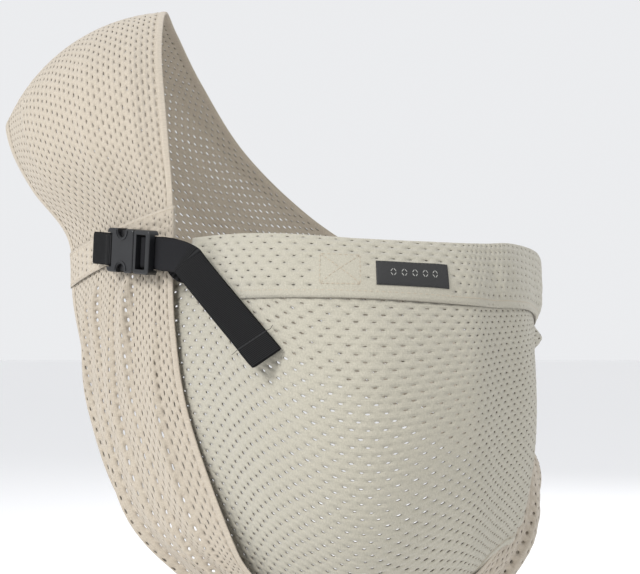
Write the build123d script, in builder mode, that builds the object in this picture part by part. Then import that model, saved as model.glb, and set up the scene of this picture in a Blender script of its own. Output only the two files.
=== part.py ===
from build123d import *
import os
from math import atan2, cos, degrees, hypot, radians, sin

# One-shoulder baby wrap sling of knitted mesh, shown as it is worn and loaded.
# Millimetres. +Z is up, +Y points from the wearer's chest to the back, +X to the wearer's left.
# The origin is the shoulder rest: the underside of the band at its crown on the right shoulder.

# ---- driving dimensions -------------------------------------------------------------------------
band_thickness = 2.0        # gathered mesh of the shoulder loop
pouch_thickness = 1.6       # single mesh layer over the baby's back
hem_thickness = 1.6         # outer layer of the folded head support
hem_height = 39.0
hem_gap = 3.0               # tunnel between the two layers of the head support
keeper_thickness = 1.6
keeper_gap = 0.8            # keeper sleeve to band
web_width = 20.0
web_thickness = 1.3
tunnel_depth = 6.0          # top of the webbing below the top of the head support
tunnel_mouth = 1.03         # place along the pouch where the webbing starts to rise
tunnel_rise = 12.0          # how far it would rise in one more place
tunnel_slope = 3.0          # how much deeper it lies for each place towards its sewn end
tunnel_end = 0.86
buckle_width = 27.0
buckle_height = 8.2
socket_length = 24.4
plug_frame_length = 15.0
parting_gap = 0.3           # socket mouth to plug frame
rail_width = 2.9            # side rails of the plug frame
window_start = 3.2          # plug window over the webbing, along the buckle
window_end = 12.0
channel_height = 3.4        # room under the plug's outer bar for two thicknesses of webbing
turn_bar = (6.3, 8.1, 2.5, 4.4)     # bar the webbing turns round: start, end, bottom, top
tongue = (-16.5, 0.4, 2.6, 5.6)     # middle guide of the plug, in the socket: start, end, bottom, top
tongue_half_width = 1.8
cavity_floor = 1.5
cavity_height = 5.2
cavity_depth = 18.6
notch_place = -10.8         # thumb notches that show the prong pads
notch_width = 7.5
notch_depth = 5.5
prong_floor = 2.2
bar_start = -socket_length   # the bar that the sewn strap turns round
bar_length = 2.2
slot_length = 2.8
bar_low = 2.5
bar_high = 5.7
prong_height = 3.8
stitch_length = 2.6
stitch_size = 0.5

# ---- the diagonal loop: rows of inner edge, crown and outer edge, from the shoulder down the front,
# under the seat, up the left hip and over the back, to the shoulder again
LOOP = [
    ((56, 0, 19), (0, 0, 2), (-48, 0, -55)),
    ((57, -52, -14), (-4, -52, -30), (-43, -16, -74)),
    ((63, -90, -64), (8, -78, -74), (-28, -26, -100)),
    ((67, -107, -103), (28, -81, -116), (-4, -39, -131)),
    ((68, -117, -142), (30, -87, -155), (0, -46, -170)),
    ((70, -126, -187), (34, -98, -194), (6, -47, -202)),
    ((79, -139, -239), (42, -110, -242), (13, -50, -240)),
    ((104, -170, -304), (60, -136, -302), (32, -80, -289)),
    ((119, -181, -330), (89, -148, -335), (71, -112, -337)),
    ((148, -183, -354), (126, -150, -368), (106, -108, -358)),
    ((200, -178, -358), (190, -140, -380), (177, -98, -366)),
    ((243, -160, -338), (248, -122, -357), (237, -84, -350)),
    ((271, -124, -306), (284, -84, -322), (280, -48, -327)),
    ((277, -62, -258), (298, -30, -292), (297, 8, -313)),
    ((270, 0, -218), (293, 15, -268), (292, 45, -301)),
    ((246, 64, -184), (261, 78, -228), (255, 90, -272)),
    ((205, 96, -150), (200, 112, -192), (192, 108, -240)),
    ((150, 104, -112), (135, 116, -150), (122, 110, -200)),
    ((105, 96, -68), (80, 112, -98), (58, 100, -152)),
    ((76, 72, -22), (36, 84, -44), (0, 72, -102)),
    ((61, 38, 9), (10, 46, -6), (-34, 36, -76)),
]
FRONT_END = 8.5             # places along the loop where its three panels are sewn together
SEAT_END = 14.0
BACK_END = 21.0

# ---- the pouch: rows of top edge, belly and lower edge, from behind the front band to the back
POUCH = [
    ((46, -80, -142), (57, -99, -232), (98, -134, -338)),
    ((84, -123, -135), (94, -155, -240), (122, -158, -356)),
    ((128, -176, -134), (130, -209, -245), (152, -166, -362)),
    ((182, -193, -138), (184, -235, -245), (190, -156, -364)),
    ((234, -178, -140), (240, -212, -240), (240, -158, -336)),
    ((254, -161, -140), (264, -186, -231), (260, -147, -320)),
    ((270, -138, -139), (285, -150, -222), (278, -119, -309)),
    ((288, -78, -141), (292, -77, -208), (288.5, -72, -280)),
    ((297, -15, -148), (296, -15, -200), (292, -15, -254)),
    ((286, 45, -152), (292, 48, -195), (284, 50, -242)),
    ((254, 88, -152), (260, 99, -188), (255, 99, -230)),
    ((216, 95, -156), (217, 110, -190), (212, 111, -224)),
]
POUCH_END = len(POUCH) - 1
HEM_START = 0.98            # places along the pouch
HEM_END = POUCH_END
STITCH_BOX = (2.58, 2.98)
LABEL = (3.14, 3.89)

# ---- the buckle lies across the keeper, turned 45 degrees from the front
buckle_turn = 45.0
buckle_tilt = 4.0
strap_run = Vector(
    cos(radians(buckle_turn)) * cos(radians(buckle_tilt)),
    -sin(radians(buckle_turn)) * cos(radians(buckle_tilt)),
    -sin(radians(buckle_tilt)),
)
buckle_face = Vector(-sin(radians(buckle_turn)), -cos(radians(buckle_turn)), 0)
buckle_plane = Plane(origin=(49.5, -109.5, -140.4), x_dir=strap_run, z_dir=buckle_face)

# ---- the free tail of the webbing: rows of centre and direction across, from the buckle to its end
TAIL_UPPER = [
    ((63.0, -131.5, -142.3), (0.14, 0.0, 0.98)),
    ((72.0, -143.5, -143.5), (0.38, 0.0, 0.92)),
    ((78.6, -152.6, -145.8), (0.66, 0.1, 0.75)),
]
TAIL_LOWER = [
    ((80.4, -155.4, -147.4), (0.76, 0.14, 0.63)),
    ((85.0, -163.0, -153.0), (0.79, 0.18, 0.58)),
    ((100.0, -184.0, -170.2), (0.80, 0.20, 0.57)),
    ((126.0, -214.0, -199.8), (0.80, 0.20, 0.57)),
]
tail_fold_length = 12.0

os.makedirs("parts", exist_ok=True)


def spread(first, last, count):
    """Evenly spaced numbers from first to last."""
    return [first + (last - first) * step / (count - 1) for step in range(count)]


def row_of(table, index):
    """A row of a table: the loop closes on itself, the pouch stops at its ends."""
    if table is LOOP:
        return table[index % len(table)]
    return table[max(0, min(index, len(table) - 1))]


def section_at(table, place):
    """The three points of a cross-section, on smooth curves through the rows of a table."""
    row = int(place)
    if table is POUCH:
        row = min(row, len(table) - 2)
    t = place - row
    points = []
    for before, start, end, after in zip(*[row_of(table, row + step) for step in (-1, 0, 1, 2)]):
        p, q, r, s = Vector(*before), Vector(*start), Vector(*end), Vector(*after)
        slope, bend, twist = r - p, p * 2 - q * 5 + r * 4 - s, q * 3 - p - r * 3 + s
        points.append(q + slope * (t / 2) + bend * (t**2 / 2) + twist * (t**3 / 2))
    return points


class Arc:
    """The circular arc through a section's three points, in the section's own plane."""

    def __init__(self, points):
        first, crown, last = points
        chord = (last - first).length
        along = (last - first).normalized()
        self.plane = Plane(origin=first, x_dir=along, z_dir=along.cross(crown - first))
        run = (crown - first).dot(along)
        rise = (crown - first).dot(self.plane.y_dir)
        drop = (run**2 + rise**2 - chord * run) / (2 * rise)
        self.centre = (chord / 2, drop)
        self.radius = hypot(chord / 2, drop)
        self.start = degrees(atan2(-drop, -chord / 2)) % 360
        self.sweep = degrees(atan2(-drop, chord / 2)) - self.start
        self.length = self.radius * radians(-self.sweep)

    def point(self, share, lift=0.0):
        """A point at a share of the arc, lifted off it."""
        angle = radians(self.start + self.sweep * share)
        reach = self.radius + lift
        x = self.centre[0] + reach * cos(angle)
        y = self.centre[1] + reach * sin(angle)
        return self.plane.from_local_coords(Vector(x, y, 0))

    def outward(self, share):
        return (self.point(share, 1.0) - self.point(share)).normalized()

    def onward(self, share):
        return (self.point(share + 0.01) - self.point(share)).normalized()


def strip(table, place, thickness, lift=0.0, start=0.0, end=1.0):
    """A curved strip with its outer face lifted off the arc, between two lengths or shares of it."""
    arc = Arc(section_at(table, place))
    angle, sweep = arc.start + arc.sweep * start, arc.sweep * (end - start)
    with BuildSketch(arc.plane) as profile:
        with BuildLine():
            outer = CenterArc(arc.centre, arc.radius + lift, angle, sweep)
            inner = CenterArc(arc.centre, arc.radius + lift - thickness, angle, sweep)
            Line(outer @ 0, inner @ 0)
            Line(outer @ 1, inner @ 1)
        make_face()
    return profile.sketch


def measured_strip(table, place, thickness, lift, start, end):
    """The same, with start and end given in millimetres along the arc."""
    length = Arc(section_at(table, place)).length
    return strip(table, place, thickness, lift, start / length, end / length)


def web_section(centre, across, onward, width=web_width, thickness=web_thickness):
    """A rectangle of webbing, with its centre, the way across it and the way it runs."""
    with BuildSketch(Plane(origin=centre, x_dir=across, z_dir=onward)) as profile:
        Rectangle(width, thickness)
    return profile.sketch


def web_sections(rows):
    """Webbing rectangles along a list of centres and ways across."""
    sections = []
    for number, (centre, across) in enumerate(rows):
        before = Vector(*rows[max(number - 1, 0)][0])
        after = Vector(*rows[min(number + 1, len(rows) - 1)][0])
        onward = (after - before).normalized()
        flat = Vector(*across) - onward * Vector(*across).dot(onward)
        sections.append(web_section(Vector(*centre), flat, onward))
    return sections


def write(name, label):
    name.part.label = label
    export_step(name.part, f"parts/{label}.step")


# ---- mesh panels ---------------------------------------------------------------------------------
with BuildPart() as front_band:
    loft(sections=[strip(LOOP, place, band_thickness) for place in spread(0, FRONT_END, 18)])
write(front_band, "front_band")

with BuildPart() as seat_band:
    loft(sections=[strip(LOOP, place, band_thickness) for place in spread(FRONT_END, SEAT_END, 12)])
write(seat_band, "seat_band")

with BuildPart() as back_band:
    loft(sections=[strip(LOOP, place, band_thickness) for place in spread(SEAT_END, BACK_END, 15)])
write(back_band, "back_band")

with BuildPart() as pouch_panel:
    loft(sections=[strip(POUCH, place, pouch_thickness) for place in spread(0, POUCH_END, 3 * POUCH_END + 1)])
write(pouch_panel, "pouch_panel")

hem_lift = hem_gap + hem_thickness
with BuildPart() as head_support_hem:
    loft(
        sections=[
            measured_strip(POUCH, place, hem_thickness, hem_lift, 0, hem_height)
            for place in spread(HEM_START, HEM_END, 64)
        ],
        ruled=True,
    )
write(head_support_hem, "head_support_hem")

# ---- keeper sleeve round the shoulder band -------------------------------------------------------
KEEPER = (3.25, 3.80)
keeper_lift = keeper_gap + keeper_thickness


def sleeve_sections(reach):
    """Cross-sections that stand clear of the band by one reach on every side."""
    sections = []
    for place in spread(KEEPER[0], KEEPER[1], 4):
        length = Arc(section_at(LOOP, place)).length
        thickness = band_thickness + 2 * reach
        sections.append(measured_strip(LOOP, place, thickness, reach, -reach, length + reach))
    return sections


with BuildPart() as keeper_sleeve:
    loft(sections=sleeve_sections(keeper_lift), ruled=True)
    loft(sections=sleeve_sections(keeper_gap), ruled=True, mode=Mode.SUBTRACT)
write(keeper_sleeve, "keeper_sleeve")


# ---- side-release buckle, drawn in its own plane: x towards the plug, z away from the wearer -----
half_buckle = buckle_width / 2
rail_inside = half_buckle - rail_width
frame_end = plug_frame_length
corner_radius = 2.4
above = buckle_height + 0.1


def buckle_block(left, right, low, high, half_width):
    """A plain block in the buckle's plane, for cuts and bars."""
    with BuildPart() as block:
        with BuildSketch(buckle_plane.offset(low)):
            with Locations(((left + right) / 2, 0)):
                Rectangle(right - left, 2 * half_width)
        extrude(amount=high - low)
    return block.part


with BuildPart() as buckle_socket:
    with BuildSketch(buckle_plane):
        with Locations((-socket_length / 2, 0)):
            RectangleRounded(socket_length, buckle_width, corner_radius)
    extrude(amount=buckle_height)
    faces_up_and_down = buckle_socket.faces().filter_by(Axis(buckle_plane.origin, buckle_plane.z_dir))
    fillet(faces_up_and_down.edges(), 0.9)
    with BuildSketch(buckle_plane):
        with Locations((notch_place, half_buckle), (notch_place, -half_buckle)):
            SlotOverall(2 * notch_depth, notch_width, rotation=90)
    extrude(amount=buckle_height, mode=Mode.SUBTRACT)
    # ridges that rise round each thumb notch
    with BuildSketch(buckle_plane.offset(buckle_height - 0.1)):
        with Locations((notch_place, half_buckle), (notch_place, -half_buckle)):
            SlotOverall(2 * notch_depth + 3.6, notch_width + 3.6, rotation=90)
            SlotOverall(2 * notch_depth + 1.8, notch_width + 1.8, rotation=90, mode=Mode.SUBTRACT)
        with Locations((-socket_length / 2, 0)):
            Rectangle(socket_length - 2.4, buckle_width - 2.4, mode=Mode.INTERSECT)
    extrude(amount=0.5)
    add(
        buckle_block(-cavity_depth, 0.1, cavity_floor, cavity_floor + cavity_height, rail_inside + 0.7),
        mode=Mode.SUBTRACT,
    )
    # slot and thin bar for the sewn strap
    slot_end = bar_start + bar_length
    add(buckle_block(slot_end, slot_end + slot_length, -0.1, above, rail_inside), mode=Mode.SUBTRACT)
    add(buckle_block(bar_start - 0.1, slot_end, -0.1, bar_low, rail_inside), mode=Mode.SUBTRACT)
    add(buckle_block(bar_start - 0.1, slot_end, bar_high, above, rail_inside), mode=Mode.SUBTRACT)
write(buckle_socket, "buckle_socket")

with BuildPart() as buckle_plug:
    with BuildSketch(buckle_plane):
        with Locations(((parting_gap + frame_end) / 2, 0)):
            RectangleRounded(frame_end - parting_gap, buckle_width, corner_radius)
    extrude(amount=buckle_height)
    faces_up_and_down = buckle_plug.faces().filter_by(Axis(buckle_plane.origin, buckle_plane.z_dir))
    fillet(faces_up_and_down.edges(), 1.1)
    # window over the webbing, channel under the outer bar, and the bar that the webbing turns round
    add(buckle_block(window_start, window_end, -0.1, above, rail_inside), mode=Mode.SUBTRACT)
    add(buckle_block(window_start, frame_end + 0.1, -0.1, channel_height, rail_inside), mode=Mode.SUBTRACT)
    add(buckle_block(*turn_bar, rail_inside + 0.5))
    add(buckle_block(*tongue, tongue_half_width))
write(buckle_plug, "buckle_plug")


def prong(side):
    """One springy side of the plug, with the pad that shows in the thumb notch."""
    outline = [
        (parting_gap - 0.5, 5.4),
        (-16.6, 5.0),
        (-17.4, 6.0),
        (-16.6, 8.6),
        (-14.3, 11.4),
        (-12.6, 12.5),
        (-7.6, 12.7),
        (-7.3, 8.4),
        (parting_gap - 0.5, 8.2),
    ]
    with BuildPart() as one_prong:
        with BuildSketch(buckle_plane.offset(prong_floor)):
            with BuildLine():
                Polyline([(x, side * y) for x, y in outline], close=True)
            make_face()
        extrude(amount=prong_height)
    return one_prong


upper_prong = prong(1)
write(upper_prong, "upper_prong")
lower_prong = prong(-1)
write(lower_prong, "lower_prong")


# ---- webbing -------------------------------------------------------------------------------------
def in_buckle(x, z):
    """A point on the buckle's middle line, in the shared frame."""
    return buckle_plane.from_local_coords(Vector(x, 0, z))


def tunnel_row(place):
    """Centre and way across of the webbing in the head support; it rises as it nears the way out."""
    arc = Arc(section_at(POUCH, place))
    depth = tunnel_depth + tunnel_slope * (place - tunnel_end)
    share = (depth + web_width / 2) / arc.length
    rise = max(0, tunnel_mouth - place) * tunnel_rise
    return arc.point(share, hem_gap / 2 + rise), arc.onward(share) * -1


up = buckle_plane.y_dir
anchor_rows = [tunnel_row(place) for place in spread(STITCH_BOX[1] - 0.05, tunnel_end, 22)]
anchor_rows += [
    ((71.0, -122.5, -143.5), (0.02, 0.0, 1.0)),
    (in_buckle(20.0, -1.0), up),
    (in_buckle(15.5, 0.7), up),
    (in_buckle(9.0, 0.85), up),
    (in_buckle(5.6, 1.1), up),
    (in_buckle(4.4, 3.0), up),
]
with BuildPart() as anchor_strap:
    loft(sections=web_sections(anchor_rows), ruled=True)
write(anchor_strap, "anchor_strap")

turn_rows = [
    (in_buckle(4.4, 3.7), up),
    (in_buckle(5.0, 4.9), up),
    (in_buckle(7.1, 5.6), up),
    (in_buckle(9.2, 4.7), up),
    (in_buckle(10.2, 2.9), up),
    (in_buckle(11.6, 2.3), up),
    (in_buckle(15.4, 2.3), up),
    (in_buckle(17.6, 3.4), up),
]
with BuildPart() as tail_strap_upper:
    loft(sections=web_sections(turn_rows + TAIL_UPPER), ruled=True)
write(tail_strap_upper, "tail_strap_upper")

with BuildPart() as tail_strap_lower:
    loft(sections=web_sections(TAIL_LOWER), ruled=True)
write(tail_strap_lower, "tail_strap_lower")

# the folded-over stop at the end of the tail, on the side towards the pouch
tail_end = Vector(*TAIL_LOWER[-1][0])
tail_way = (tail_end - Vector(*TAIL_LOWER[-2][0])).normalized()
tail_across = Vector(*TAIL_LOWER[-1][1]) - tail_way * Vector(*TAIL_LOWER[-1][1]).dot(tail_way)
tail_plane = Plane(origin=tail_end, x_dir=tail_way * -1, z_dir=tail_way.cross(tail_across))
with BuildPart() as tail_end_fold:
    with BuildSketch(tail_plane.offset(-1.5 * web_thickness - 0.05)):
        with Locations((tail_fold_length / 2, 0)):
            Rectangle(tail_fold_length, web_width)
    extrude(amount=web_thickness)
write(tail_end_fold, "tail_end_fold")

strap_side = Plane(origin=buckle_plane.origin, x_dir=strap_run, z_dir=up * -1)
strap_outline = [
    (-44.0, 1.0),
    (-20.4, 1.0),
    (-20.4, 7.2),
    (-25.5, 7.2),
    (-30.0, 3.6),
    (-44.0, 3.6),
]
strap_hollow = [(-28.4, 2.3), (-21.7, 2.3), (-21.7, 5.9), (-25.0, 5.9)]
with BuildPart() as socket_strap:
    with BuildSketch(strap_side):
        with BuildLine():
            Polyline(strap_outline, close=True)
        make_face()
        with BuildLine():
            Polyline(strap_hollow, close=True)
        make_face(mode=Mode.SUBTRACT)
    extrude(amount=web_width / 2, both=True)
write(socket_strap, "socket_strap")

# ---- woven label on the head support -------------------------------------------------------------
label_thickness = 0.7
label_lift = hem_lift + 0.95
label_top, label_bottom = 16.5, 31.5
with BuildPart() as woven_label:
    loft(
        sections=[
            measured_strip(POUCH, place, label_thickness, label_lift, label_top, label_bottom)
            for place in spread(LABEL[0], LABEL[1], 12)
        ],
        ruled=True,
    )
write(woven_label, "woven_label")


# ---- stitching, as rows of separate stitches on the cloth ----------------------------------------
def stitch_places(table, first, last, count, lift):
    """Where the stitches of one row lie: first and last are (place, millimetres down the section)."""
    points = []
    for place, down in zip(spread(first[0], last[0], count + 1), spread(first[1], last[1], count + 1)):
        arc = Arc(section_at(table, place))
        points.append((arc.point(down / arc.length, lift), arc.outward(down / arc.length)))
    spots = []
    for (here, outward), (there, _) in zip(points, points[1:]):
        spots.append(Location(Plane(origin=(here + there) / 2, x_dir=there - here, z_dir=outward)))
    return spots


def stitches(spots):
    with BuildPart() as rows:
        with Locations(*spots):
            Box(stitch_length, stitch_size, stitch_size)
    return rows


on_hem = hem_lift + stitch_size / 2 + 1.05
over_bends = on_hem + 0.6
seam = hem_height - 2.5
hem_spots = stitch_places(POUCH, (HEM_START + 0.03, seam), (HEM_END - 0.05, seam), 140, over_bends)
hem_spots = hem_spots[:9] + hem_spots[16:]  # none under the tail, which slides across here
hem_spots += stitch_places(POUCH, (HEM_END - 0.05, seam - 3), (HEM_END - 0.05, 3), 7, over_bends)
hem_stitches = stitches(hem_spots)
write(hem_stitches, "hem_stitches")

left, right = STITCH_BOX
box_top, box_bottom = 12.6, 31.6
box_corners = [(left, box_top), (right, box_top), (right, box_bottom), (left, box_bottom), (left, box_top)]
box_spots = []
for start_corner, end_corner in zip(box_corners, box_corners[1:]):
    box_spots += stitch_places(POUCH, start_corner, end_corner, 6, on_hem)
diagonals = stitch_places(POUCH, (left + 0.03, box_top + 1.4), (right - 0.03, box_bottom - 1.4), 8, on_hem)
other = stitch_places(POUCH, (left + 0.03, box_bottom - 1.4), (right - 0.03, box_top + 1.4), 8, on_hem)
box_spots += diagonals + other[:3] + other[5:]
anchor_box_stitches = stitches(box_spots)
write(anchor_box_stitches, "anchor_box_stitches")

on_label = label_lift + stitch_size / 2 + 0.65
label_spots = []
for down in (label_top + 1.0, label_bottom - 1.0):
    label_spots += stitch_places(POUCH, (LABEL[0] + 0.02, down), (LABEL[1] - 0.02, down), 11, on_label)
label_stitches = stitches(label_spots)
write(label_stitches, "label_stitches")


def keeper_row(place):
    """Stitches along one edge of the keeper sleeve, on the front."""
    arc = Arc(section_at(LOOP, place))
    lift = keeper_lift + stitch_size / 2 + 0.2
    points = [(arc.point(share, lift), arc.outward(share)) for share in spread(0.02, 0.98, 26)]
    spots = []
    for (here, outward), (there, _) in zip(points, points[1:]):
        spots.append(Location(Plane(origin=(here + there) / 2, x_dir=there - here, z_dir=outward)))
    return spots


keeper_stitches = stitches(keeper_row(KEEPER[0] + 0.06) + keeper_row(KEEPER[1] - 0.06))
write(keeper_stitches, "keeper_stitches")
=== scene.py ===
from math import atan2, cos, hypot, pi, radians, sin

import bpy
import numpy as np
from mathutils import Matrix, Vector


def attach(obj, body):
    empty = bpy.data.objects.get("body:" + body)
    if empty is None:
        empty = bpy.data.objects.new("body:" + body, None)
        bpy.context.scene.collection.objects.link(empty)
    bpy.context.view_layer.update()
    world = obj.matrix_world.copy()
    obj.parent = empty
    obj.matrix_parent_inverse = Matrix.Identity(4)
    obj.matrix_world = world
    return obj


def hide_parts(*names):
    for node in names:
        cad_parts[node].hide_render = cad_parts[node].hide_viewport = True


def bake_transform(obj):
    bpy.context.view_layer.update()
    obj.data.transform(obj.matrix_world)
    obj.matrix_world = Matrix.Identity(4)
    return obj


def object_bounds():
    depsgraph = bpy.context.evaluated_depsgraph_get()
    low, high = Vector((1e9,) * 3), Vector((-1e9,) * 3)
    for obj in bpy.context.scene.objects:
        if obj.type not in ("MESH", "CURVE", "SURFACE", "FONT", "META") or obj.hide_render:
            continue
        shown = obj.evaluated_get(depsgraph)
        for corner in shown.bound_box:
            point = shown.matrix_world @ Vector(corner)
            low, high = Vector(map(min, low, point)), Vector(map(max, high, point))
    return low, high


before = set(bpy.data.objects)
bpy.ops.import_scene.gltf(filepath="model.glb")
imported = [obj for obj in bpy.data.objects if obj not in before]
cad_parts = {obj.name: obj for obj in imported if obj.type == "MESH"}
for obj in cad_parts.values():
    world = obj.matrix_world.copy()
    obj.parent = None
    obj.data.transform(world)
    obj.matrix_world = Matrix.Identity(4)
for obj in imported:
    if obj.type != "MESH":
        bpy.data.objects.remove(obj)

# A one-shoulder mesh baby sling round its CAD frame. Lengths are in millimetres, as in the design,
# and every mesh is scaled to metres when it is made.
CAD_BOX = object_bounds()
MM = 0.001

LOOP = [
    ((56, 0, 19), (0, 0, 2), (-48, 0, -55)),
    ((57, -52, -14), (-4, -52, -30), (-43, -16, -74)),
    ((63, -90, -64), (8, -78, -74), (-28, -26, -100)),
    ((67, -107, -103), (28, -81, -116), (-4, -39, -131)),
    ((68, -117, -142), (30, -87, -155), (0, -46, -170)),
    ((70, -126, -187), (34, -98, -194), (6, -47, -202)),
    ((79, -139, -239), (42, -110, -242), (13, -50, -240)),
    ((104, -170, -304), (60, -136, -302), (32, -80, -289)),
    ((119, -181, -330), (89, -148, -335), (71, -112, -337)),
    ((148, -183, -354), (126, -150, -368), (106, -108, -358)),
    ((200, -178, -358), (190, -140, -380), (177, -98, -366)),
    ((243, -160, -338), (248, -122, -357), (237, -84, -350)),
    ((271, -124, -306), (284, -84, -322), (280, -48, -327)),
    ((277, -62, -258), (298, -30, -292), (297, 8, -313)),
    ((270, 0, -218), (293, 15, -268), (292, 45, -301)),
    ((246, 64, -184), (261, 78, -228), (255, 90, -272)),
    ((205, 96, -150), (200, 112, -192), (192, 108, -240)),
    ((150, 104, -112), (135, 116, -150), (122, 110, -200)),
    ((105, 96, -68), (80, 112, -98), (58, 100, -152)),
    ((76, 72, -22), (36, 84, -44), (0, 72, -102)),
    ((61, 38, 9), (10, 46, -6), (-34, 36, -76)),
]
FRONT_END, SEAT_END, BACK_END = 8.5, 14.0, 21.0
POUCH = [
    ((46, -80, -142), (57, -99, -232), (98, -134, -338)),
    ((84, -123, -135), (94, -155, -240), (122, -158, -356)),
    ((128, -176, -134), (130, -209, -245), (152, -166, -362)),
    ((182, -193, -138), (184, -235, -245), (190, -156, -364)),
    ((234, -178, -140), (240, -212, -240), (240, -158, -336)),
    ((254, -161, -140), (264, -186, -231), (260, -147, -320)),
    ((270, -138, -139), (285, -150, -222), (278, -119, -309)),
    ((288, -78, -141), (292, -77, -208), (288.5, -72, -280)),
    ((297, -15, -148), (296, -15, -200), (292, -15, -254)),
    ((286, 45, -152), (292, 48, -195), (284, 50, -242)),
    ((254, 88, -152), (260, 99, -188), (255, 99, -230)),
    ((216, 95, -156), (217, 110, -190), (212, 111, -224)),
]
POUCH_END = len(POUCH) - 1
HEM_START, HEM_END = 0.98, POUCH_END
HEM_HEIGHT, HEM_LIFT = 39.0, 4.6
TUNNEL_END = 0.86
STITCH_BOX = (2.58, 2.98)
LABEL = (3.14, 3.89)
KEEPER = (3.25, 3.80)
TAIL = [
    ((63.0, -131.5, -142.3), (0.14, 0.0, 0.98)),
    ((72.0, -143.5, -143.5), (0.38, 0.0, 0.92)),
    ((78.6, -152.6, -145.8), (0.66, 0.1, 0.75)),
    ((80.4, -155.4, -147.4), (0.76, 0.14, 0.63)),
    ((85.0, -163.0, -153.0), (0.79, 0.18, 0.58)),
    ((100.0, -184.0, -170.2), (0.80, 0.20, 0.57)),
    ((126.0, -214.0, -199.8), (0.80, 0.20, 0.57)),
]
TURN, TILT = radians(45), radians(4)
RUN = np.array((cos(TURN) * cos(TILT), -sin(TURN) * cos(TILT), -sin(TILT)))
FACE = np.array((-sin(TURN), -cos(TURN), 0.0))
UP = np.cross(FACE, RUN)
BUCKLE = np.array((49.5, -109.5, -140.4))
RIB_PITCH = 1.2
WEB_WIDTH, WEB_THICKNESS = 20.0, 1.25
TUNNEL_MOUTH, TUNNEL_RISE, TUNNEL_SLOPE, TUNNEL_DEPTH = 1.03, 12.0, 3.0, 16.0
BOX_TOP, BOX_BOTTOM = 12.6, 31.6     # down from the top edge of the head support, as are the next two lines
LABEL_TOP, LABEL_BOTTOM = 16.5, 31.5
HEM_SEAM = 35.0
TACK_BACK = 12.0                     # from the tail's end to the tack across it
rng = np.random.default_rng(11)


# ---- geometry of the curved panels ---------------------------------------------------------------
def smooth(x, low, high):
    """0 below low, 1 above high, and a smooth step between them."""
    t = np.clip((x - low) / (high - low), 0, 1)
    return t * t * (3 - 2 * t)


def bump(x, centre, width):
    return np.exp(-(((x - centre) / width) ** 2))


def row_of(table, index):
    if table is LOOP:
        return np.array(table[index % len(table)], float)
    return np.array(table[max(0, min(index, len(table) - 1))], float)


def curve_at(p, q, r, s, t):
    """A smooth curve from q to r, with p before them and s after."""
    bend = p * 2 - q * 5 + r * 4 - s
    twist = q * 3 - p - r * 3 + s
    return q + (r - p) * (t / 2) + bend * (t**2 / 2) + twist * (t**3 / 2)


def section_at(table, place):
    """A cross-section's three points, on smooth curves through the rows of a table."""
    row = int(place)
    if table is POUCH:
        row = min(row, len(table) - 2)
    t = place - row
    p, q, r, s = (row_of(table, row + step) for step in (-1, 0, 1, 2))
    return curve_at(p, q, r, s, t)


class Arc:
    """The circular arc through a section's three points."""

    def __init__(self, points):
        first, crown, last = points
        chord = np.linalg.norm(last - first)
        self.x = (last - first) / chord
        z = np.cross(self.x, crown - first)
        self.y = np.cross(z / np.linalg.norm(z), self.x)
        run, rise = (crown - first) @ self.x, (crown - first) @ self.y
        drop = (run**2 + rise**2 - chord * run) / (2 * rise)
        self.centre = first + self.x * chord / 2 + self.y * drop
        self.radius = hypot(chord / 2, drop)
        self.start = atan2(-drop, -chord / 2) % (2 * pi)
        self.sweep = atan2(-drop, chord / 2) - self.start
        self.length = self.radius * -self.sweep

    def points(self, share, lift):
        angle = self.start + self.sweep * share
        reach = self.radius + lift
        return self.centre + np.outer(reach * np.cos(angle), self.x) + np.outer(reach * np.sin(angle), self.y)


class Cloth:
    """A dense grid of points on a panel. u runs across it and v along it, both from 0 to 1."""

    def __init__(self, table, first, last, profile, across=110, along=320):
        self.u, self.v = np.linspace(0, 1, across), np.linspace(0, 1, along)
        self.grid = np.zeros((along, across, 3))
        for i, v in enumerate(self.v):
            arc = Arc(section_at(table, first + (last - first) * v))
            share, lift = profile(self.u, v, arc.length)
            self.grid[i] = arc.points(share, lift)
        du = np.gradient(self.grid, axis=1)
        dv = np.gradient(self.grid, axis=0)
        normal = np.cross(du, dv)
        self.normal = normal / np.linalg.norm(normal, axis=2, keepdims=True)
        self.width = np.linalg.norm(np.diff(self.grid, axis=1), axis=2).sum(1)
        self.length = np.linalg.norm(np.diff(self.grid, axis=0), axis=2).sum(0).mean()

    def shift(self, offset):
        """Moves every point of the grid out along its normal, by an array or a number."""
        self.grid = self.grid + self.normal * np.asarray(offset)[..., None]
        du = np.gradient(self.grid, axis=1)
        dv = np.gradient(self.grid, axis=0)
        normal = np.cross(du, dv)
        self.normal = normal / np.linalg.norm(normal, axis=2, keepdims=True)

    def turn_outward(self, towards):
        """Makes the normals point away from an inner point."""
        if ((self.grid - np.array(towards)) * self.normal).sum(2).mean() < 0:
            self.normal = -self.normal
        return self

    def _mix(self, field, u, v):
        x = np.clip(u, 0, 1) * (len(self.u) - 1)
        y = np.clip(v, 0, 1) * (len(self.v) - 1)
        i, j = np.minimum(y.astype(int), len(self.v) - 2), np.minimum(x.astype(int), len(self.u) - 2)
        a, b = (y - i)[:, None], (x - j)[:, None]
        low = field[i, j] * (1 - b) + field[i, j + 1] * b
        high = field[i + 1, j] * (1 - b) + field[i + 1, j + 1] * b
        return low * (1 - a) + high * a

    def at(self, u, v, lift=0.0):
        u, v = np.atleast_1d(np.asarray(u, float)), np.atleast_1d(np.asarray(v, float))
        return self._mix(self.grid, u, v) + self._mix(self.normal, u, v) * np.reshape(lift, (-1, 1))

    def width_at(self, v):
        return np.interp(v, self.v, self.width)


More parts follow.
